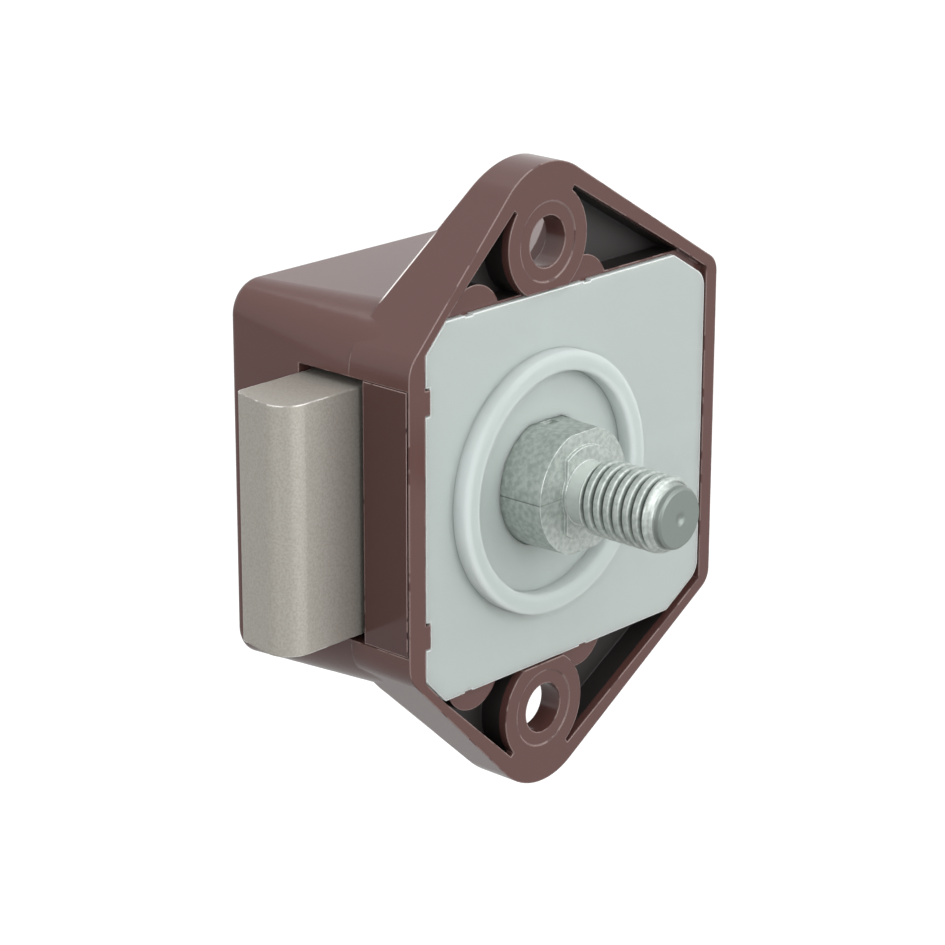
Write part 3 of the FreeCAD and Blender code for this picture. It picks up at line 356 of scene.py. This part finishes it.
# Zinc, die cast: a dull grey metal with a cloudy grain, a parting line along the hub, painted shade in the
# thread grooves, a smoother neck painted lighter as a painted highlight, a dark tip, and edges painted
# bright, partly as wear and partly as a painted highlight
def makeCastZinc():
    look = castSettings
    material, tree, shader = newMaterial("castZinc", look)
    place, parts = objectPlace(tree)
    reach = fromSpindle(tree, place)
    depth = (parts, "Y")
    height = addNode(tree, "ShaderNodeMath", {0: (parts, "Z")}, operation="ABSOLUTE")
    seam = band(tree, height, -noLimit, look["seamHalfWidth"], look["seamFade"])
    onHub = band(tree, depth, look["hubFace"], noLimit, fade)
    onThread = band(tree, depth, *look["thread"], look["threadFade"])
    inGroove = band(tree, reach, *look["groove"], look["grooveFade"])
    tip = band(tree, depth, -noLimit, look["tip"], fade)
    neck = overlap(tree, band(tree, depth, *look["neck"], look["neckFade"]),
                   band(tree, reach, -noLimit, look["neckRadius"], crispFade))
    edge = softEdges(tree, shader, look)
    behindTip = band(tree, depth, look["tipEdge"], noLimit, fade)
    paint(tree, shader, look["darkColour"],
          [((grainMask(tree, place, look),), look["colour"]),
           ((seam, onHub, look["seamAmount"]), look["seamAndGrooveShadeColour"]),
           # painted shade: the thread's grooves are painted dark where shade falls in them
           ((onThread, inGroove, look["grooveShadeAmount"]), look["seamAndGrooveShadeColour"]),
           ((tip,), look["tipColour"]),
           # painted highlight: the smooth neck is painted lighter for the glint it catches
           ((neck,), look["neckHighlightColour"]),
           # the bright edges are partly wear and partly a painted highlight
           ((edgeLines(tree, edge, look), behindTip), look["wearAndHighlightColour"])])
    changeRoughness(tree, shader, neck, look["roughness"], look["neckRoughness"])
    return material


# The speckle of the bolt is drawn coarser than the real one, so that it shows
boltSettings = {"colour": "B0ACA4", "darkColour": "A49F96", "wearAndHighlightColour": "EFEDE8", "roughness": 0.42,
                "metallic": 0.6, "edgeRadius": 0.2 * mm,
                "grainSize": 0.2083 * mm, "grainDetail": 3.0, "grainLow": 0.37, "grainHigh": 0.62,
                "reliefSize": 0.3125 * mm, "reliefDepth": 0.006 * mm, "reliefDetail": 3.0,
                "lineAmount": 0.9, "gapSize": 2.0 * mm, "gapShare": 0.52}


# Zinc, die cast and tumbled: a warm satin grey with a fine speckle, and edges painted bright in places,
# partly as wear and partly as a painted highlight
def makeTumbledZinc():
    look = boltSettings
    material, tree, shader = newMaterial("tumbledZinc", look)
    place = addNode(tree, "ShaderNodeTexCoord")
    edge = softEdges(tree, shader, look)
    paint(tree, shader, look["darkColour"], [((grainMask(tree, place, look),), look["colour"]),
                                             # the bright edges are partly wear and partly a painted highlight
                                             ((edgeLines(tree, edge, look),), look["wearAndHighlightColour"])])
    return material


# The pieces inside: acetal, moulded, off-white with a soft sheen, and steel, ground, a plain grey shine
acetalSettings = {"colour": "E2E1DB", "roughness": 0.4}
steelSettings = {"colour": "B9BABA", "roughness": 0.3, "metallic": 1.0}

materials = {"housing_plastic": makeHousingAbs(), "insert_plastic": makeInsertAbs(),
             "plate_plastic": makePlatePolypropylene(), "spindle_metal": makeCastZinc(),
             "bolt_metal": makeTumbledZinc(), "acetal": newMaterial("mouldedAcetal", acetalSettings)[0],
             "steel": newMaterial("groundSteel", steelSettings)[0]}
slotOfNode = {part["node"]: part["material_slot"] for part in frame["record"]["subparts"]}
for nodeName, nodeObject in frame["nodes"].items():
    for slotIndex in range(len(nodeObject.data.materials)):
        nodeObject.data.materials[slotIndex] = materials[slotOfNode[nodeName]]
print("stage: materials assigned")


# The stud's thread. Lengths are in metres along the spindle's axis, crestFlat and rootStart are shares
# of a pitch from the crest, and dimpleInner and dimpleOuter are shares of the radius. The mesh has
# sides around it, rows along it and rings across its ends.
threadSettings = {"rootRadius": 3.0 * mm, "crestRadius": 3.55 * mm, "tipRadius": 2.85 * mm,
                  "start": 5.0 * mm, "threadStart": 6.4 * mm, "threadEnd": 14.3 * mm, "end": 15.8 * mm,
                  "pitch": 1.12 * mm, "crestFlat": 0.225, "rootStart": 0.49, "runOut": 0.7 * mm,
                  "tipLength": 0.7 * mm, "tipRound": 0.2 * mm, "shoulderSlope": 1.5,
                  "dimpleDepth": 0.18 * mm, "dimpleInner": 0.08, "dimpleOuter": 0.24,
                  "sides": 96, "rows": 360, "rings": 14}


# The stud as a geometry node tree: a cylinder whose radius follows the helix
def makeThreadTree(material):
    tree = bpy.data.node_groups.new("studThread", "GeometryNodeTree")
    sockets = {}
    for name, value in threadSettings.items():
        kind = "NodeSocketInt" if isinstance(value, int) else "NodeSocketFloat"
        sockets[name] = tree.interface.new_socket(name=name, in_out="INPUT", socket_type=kind).identifier
    tree.interface.new_socket(name="Geometry", in_out="OUTPUT", socket_type="NodeSocketGeometry")
    given = addNode(tree, "NodeGroupInput")

    # A tube of radius 1, and where each of its points lies along and around it
    length = addNode(tree, "ShaderNodeMath", {0: (given, "end"), 1: (given, "start")}, operation="SUBTRACT")
    tube = addNode(tree, "GeometryNodeMeshCylinder",
                   {"Vertices": (given, "sides"), "Side Segments": (given, "rows"),
                    "Fill Segments": (given, "rings"), "Radius": 1.0, "Depth": length})
    position = addNode(tree, "GeometryNodeInputPosition")
    parts = addNode(tree, "ShaderNodeSeparateXYZ", {"Vector": position})
    fromFoot = addNode(tree, "ShaderNodeMath", {0: length, 1: 0.5, 2: (parts, "Z")}, operation="MULTIPLY_ADD")
    along = addNode(tree, "ShaderNodeMath", {0: fromFoot, 1: (given, "start")}, operation="ADD")
    angle = addNode(tree, "ShaderNodeMath", {0: (parts, "Y"), 1: (parts, "X")}, operation="ARCTAN2")

    # The ridge of the thread, which rises from the neck and runs out before the tip
    pitches = addNode(tree, "ShaderNodeMath", {0: along, 1: (given, "pitch")}, operation="DIVIDE")
    turned = addNode(tree, "ShaderNodeMath", {0: angle, 1: -0.5 / math.pi, 2: pitches},
                     operation="MULTIPLY_ADD")
    phase = addNode(tree, "ShaderNodeMath", {0: turned}, operation="FRACT")
    offCrest = addNode(tree, "ShaderNodeMath", {0: phase, 1: 0.5}, operation="SUBTRACT")
    fromCrest = addNode(tree, "ShaderNodeMath", {0: offCrest}, operation="ABSOLUTE")
    ridge = addNode(tree, "ShaderNodeMapRange",
                    {"Value": fromCrest, "From Min": (given, "crestFlat"), "From Max": (given, "rootStart"),
                     "To Min": 1.0, "To Max": 0.0}, interpolation_type="SMOOTHSTEP")
    fullFrom = addNode(tree, "ShaderNodeMath", {0: (given, "threadStart"), 1: (given, "runOut")},
                       operation="ADD")
    goneFrom = addNode(tree, "ShaderNodeMath", {0: (given, "threadEnd"), 1: (given, "runOut")},
                       operation="ADD")
    lead = addNode(tree, "ShaderNodeMapRange",
                   {"Value": along, "From Min": (given, "threadStart"), "From Max": fullFrom},
                   interpolation_type="SMOOTHSTEP")
    runOut = addNode(tree, "ShaderNodeMapRange",
                     {"Value": along, "From Min": (given, "threadEnd"), "From Max": goneFrom, "To Min": 1.0,
                      "To Max": 0.0}, interpolation_type="SMOOTHSTEP")
    tall = addNode(tree, "ShaderNodeMath", {0: (given, "crestRadius"), 1: (given, "rootRadius")},
                   operation="SUBTRACT")
    height = overlap(tree, tall, ridge, lead, runOut)
    threaded = addNode(tree, "ShaderNodeMath", {0: (given, "rootRadius"), 1: height}, operation="ADD")

    # The tip, which keeps within a rounded end and a sloping shoulder
    toEnd = addNode(tree, "ShaderNodeMath", {0: (given, "end"), 1: along}, operation="SUBTRACT")
    rounded = addNode(tree, "ShaderNodeMath", {0: toEnd, 1: (given, "tipRound")}, operation="MINIMUM")
    inner = addNode(tree, "ShaderNodeMath", {0: (given, "tipRadius"), 1: (given, "tipRound")},
                    operation="SUBTRACT")
    cap = addNode(tree, "ShaderNodeMath", {0: inner, 1: rounded}, operation="ADD")
    pastTip = addNode(tree, "ShaderNodeMath", {0: toEnd, 1: (given, "tipLength")}, operation="SUBTRACT")
    shoulder = addNode(tree, "ShaderNodeMath", {0: pastTip, 1: 0.0}, operation="MAXIMUM")
    limit = addNode(tree, "ShaderNodeMath", {0: shoulder, 1: (given, "shoulderSlope"), 2: cap},
                    operation="MULTIPLY_ADD")
    radius = addNode(tree, "ShaderNodeMath", {0: threaded, 1: limit}, operation="MINIMUM")

    # The dimple in the tip's face
    flat = addNode(tree, "ShaderNodeVectorMath", {0: position, 1: (1, 1, 0)}, operation="MULTIPLY")
    fromMiddle = addNode(tree, "ShaderNodeVectorMath", {0: flat}, operation="LENGTH")
    dimple = addNode(tree, "ShaderNodeMapRange",
                     {"Value": (fromMiddle, "Value"), "From Min": (given, "dimpleInner"),
                      "From Max": (given, "dimpleOuter"), "To Min": (given, "dimpleDepth"), "To Max": 0.0},
                     interpolation_type="SMOOTHSTEP")
    level = addNode(tree, "ShaderNodeMath", {0: along, 1: dimple}, operation="SUBTRACT")
    scaled = addNode(tree, "ShaderNodeVectorMath", {0: flat, "Scale": radius}, operation="SCALE")
    upward = addNode(tree, "ShaderNodeCombineXYZ", {"Z": level})
    target = addNode(tree, "ShaderNodeVectorMath", {0: scaled, 1: upward}, operation="ADD")

    shaped = addNode(tree, "GeometryNodeSetPosition", {"Geometry": (tube, "Mesh"), "Position": target})
    painted = addNode(tree, "GeometryNodeSetMaterial", {"Geometry": shaped, "Material": material})
    realized = addNode(tree, "GeometryNodeRealizeInstances", {"Geometry": painted})
    addNode(tree, "NodeGroupOutput", {"Geometry": realized})
    return tree, sockets


# Mesh of the threaded stud, along -Y from the face of the hub
def makeStud(material):
    tree, sockets = makeThreadTree(material)
    holder = bpy.data.objects.new("studHolder", bpy.data.meshes.new("studHolder"))
    bpy.context.scene.collection.objects.link(holder)
    modifier = holder.modifiers.new("thread", "NODES")
    modifier.node_group = tree
    for name, identifier in sockets.items():
        modifier[identifier] = threadSettings[name]
    evaluated = holder.evaluated_get(bpy.context.evaluated_depsgraph_get())
    mesh = bpy.data.meshes.new_from_object(evaluated)
    bpy.data.objects.remove(holder)
    mesh.transform(Matrix.Rotation(math.radians(90), 4, "X"))
    return mesh


# The spindle: where its plain stud is cut off, points that count as one, and its sharpest smooth angle
spindleSettings = {"cutFrom": 4.95 * mm, "mergeWithin": 1e-7, "smoothAngle": 35.0}


# The casting's own hub and tail, with the plain stud cut off and the thread in its place
def makeSpindle():
    settings = spindleSettings
    work = bmesh.new()
    work.from_mesh(frame["nodes"]["spindle"].data)
    bmesh.ops.remove_doubles(work, verts=work.verts, dist=settings["mergeWithin"])
    cut = bmesh.ops.bisect_plane(work, geom=work.verts[:] + work.edges[:] + work.faces[:],
                                 plane_co=(0, -settings["cutFrom"], 0), plane_no=(0, -1, 0), clear_outer=True)
    edges = [item for item in cut["geom_cut"] if isinstance(item, bmesh.types.BMEdge)]
    bmesh.ops.holes_fill(work, edges=edges)
    work.from_mesh(makeStud(materials["spindle_metal"]))
    bmesh.ops.recalc_face_normals(work, faces=work.faces)
    mesh = bpy.data.meshes.new("spindleBody")
    work.to_mesh(mesh)
    work.free()
    keptNormals = mesh.attributes.get("custom_normal")  # the casting's own, which no longer fit
    if keptNormals:
        mesh.attributes.remove(keptNormals)
    mesh.materials.clear()
    mesh.materials.append(materials["spindle_metal"])
    spindle = bpy.data.objects.new("spindleBody", mesh)
    bpy.context.scene.collection.objects.link(spindle)
    mesh.shade_smooth()
    mesh.set_sharp_from_angle(angle=math.radians(settings["smoothAngle"]))
    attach(spindle, "push_spindle")
    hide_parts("spindle")
    return spindle


spindle = makeSpindle()
print("stage: spindle made, %d faces" % len(spindle.data.polygons))


# 1 for the rays that show the backdrop: those of the camera, of reflections and of clear material
def backdropRays(tree, glossyShare):
    ray = addNode(tree, "ShaderNodeLightPath")
    glossy = overlap(tree, (ray, "Is Glossy Ray"), glossyShare)
    bounced = addNode(tree, "ShaderNodeMath", {0: glossy, 1: (ray, "Is Transmission Ray")},
                      operation="MAXIMUM")
    return addNode(tree, "ShaderNodeMath", {0: (ray, "Is Camera Ray"), 1: bounced}, operation="MAXIMUM")


worldSettings = {"backdropColour": (1, 1, 1, 1), "backdropStrength": 1.0, "glossyShare": 1.0,
                 "fillColour": (0.97, 0.985, 1.0, 1), "fillStrength": 0.85}


# White backdrop to the camera and in reflections, pale studio light to everything else
def makeWorld(settings):
    world = bpy.data.worlds.new("studio")
    bpy.context.scene.world = world
    world.use_nodes = True
    tree = world.node_tree
    tree.nodes.clear()
    backdrop = addNode(tree, "ShaderNodeBackground", {"Color": settings["backdropColour"],
                                                      "Strength": settings["backdropStrength"]})
    fill = addNode(tree, "ShaderNodeBackground", {"Color": settings["fillColour"],
                                                  "Strength": settings["fillStrength"]})
    mix = addNode(tree, "ShaderNodeMixShader", {0: backdropRays(tree, settings["glossyShare"]), 1: fill,
                                                2: backdrop})
    addNode(tree, "ShaderNodeOutputWorld", {"Surface": mix})


# Soft square lights: places and sizes in metres, powers in watts
lightSettings = {"keyLight": {"position": (-0.10, -0.50, 0.45), "size": 0.60, "power": 0.6},
                 "frontLight": {"position": (0.15, -0.70, 0.10), "size": 1.00, "power": 6.0},
                 "topLight": {"position": (0.05, 0.10, 0.55), "size": 0.45, "power": 0.9},
                 "sideLight": {"position": (-0.55, -0.05, 0.20), "size": 0.30, "power": 0.9}}


# Each light looks at the middle of the lock
def addLight(name, settings):
    data = bpy.data.lights.new(name, "AREA")
    data.shape = "SQUARE"
    data.size = settings["size"]
    data.energy = settings["power"]
    light = bpy.data.objects.new(name, data)
    light.location = settings["position"]
    light.rotation_euler = (-Vector(settings["position"])).to_track_quat("-Z", "Y").to_euler()
    bpy.context.scene.collection.objects.link(light)


makeWorld(worldSettings)
for lightName, settings in lightSettings.items():
    addLight(lightName, settings)


floorSettings = {"colour": "8C8C8A", "roughness": 0.9, "reach": 3.0, "level": -0.12, "glossyShare": 0.42,
                 "glow": 0.85, "glowColour": (1, 1, 1, 1), "shadedColour": (0.25, 0.25, 0.25, 1)}


# Floor under the lock: white with the lock's shadow where the camera or a reflection sees it, darker
# in the light that it throws back
def makeFloor(settings):
    reach, level = settings["reach"], settings["level"]
    corners = [(-reach, -reach, level), (reach, -reach, level), (reach, reach, level), (-reach, reach, level)]
    mesh = bpy.data.meshes.new("floor")
    mesh.from_pydata(corners, [], [(0, 1, 2, 3)])
    floor = bpy.data.objects.new("floor", mesh)
    bpy.context.scene.collection.objects.link(floor)
    material, tree, shader = newMaterial("paintedFloor", settings)
    glow = addNode(tree, "ShaderNodeEmission", {"Color": settings["glowColour"],
                                                "Strength": settings["glow"]})
    shaded = addNode(tree, "ShaderNodeBsdfDiffuse", {"Color": settings["shadedColour"]})
    both = addNode(tree, "ShaderNodeAddShader", {0: glow, 1: shaded})
    mix = addNode(tree, "ShaderNodeMixShader", {0: backdropRays(tree, settings["glossyShare"]), 1: shader,
                                                2: both})
    tree.links.new(mix.outputs["Shader"], tree.nodes["Material Output"].inputs["Surface"])
    mesh.materials.append(material)


makeFloor(floorSettings)


# Camera fitted to the photograph: angles in degrees, lengths in millimetres
cameraSettings = {"azimuth": -47.671, "elevation": 18.0, "roll": 0.196, "distance": 281.303,
                  "target": (-8.804, 0.0, 5.451), "lens": 120.30, "shiftX": -0.0093, "shiftY": -0.0287,
                  "sensorWidth": 36.0, "nearest": 10.0, "farthest": 20000.0}


# The camera looks along its own back vector, with the roll and small shift of the photograph
def makeCamera(settings):
    azimuth, elevation, roll = (math.radians(settings[key]) for key in ("azimuth", "elevation", "roll"))
    back = Vector((math.sin(azimuth) * math.cos(elevation), -math.cos(azimuth) * math.cos(elevation),
                   math.sin(elevation)))
    right = (-back).cross(Vector((0, 0, 1))).normalized()
    up = right.cross(-back)
    rolledRight = right * math.cos(roll) + up * math.sin(roll)
    rolledUp = up * math.cos(roll) - right * math.sin(roll)
    data = bpy.data.cameras.new("photoCamera")
    data.lens = settings["lens"]
    data.sensor_width = settings["sensorWidth"]
    data.shift_x = settings["shiftX"]
    data.shift_y = settings["shiftY"]
    data.clip_start = settings["nearest"] * mm
    data.clip_end = settings["farthest"] * mm
    camera = bpy.data.objects.new("photoCamera", data)
    location = (Vector(settings["target"]) + back * settings["distance"]) * mm
    rotation = Matrix((rolledRight, rolledUp, back)).transposed()
    camera.matrix_world = Matrix.Translation(location) @ rotation.to_4x4()
    bpy.context.scene.collection.objects.link(camera)
    bpy.context.scene.camera = camera


makeCamera(cameraSettings)
bpy.context.scene.view_settings.view_transform = "Standard"
print("stage: scene set")
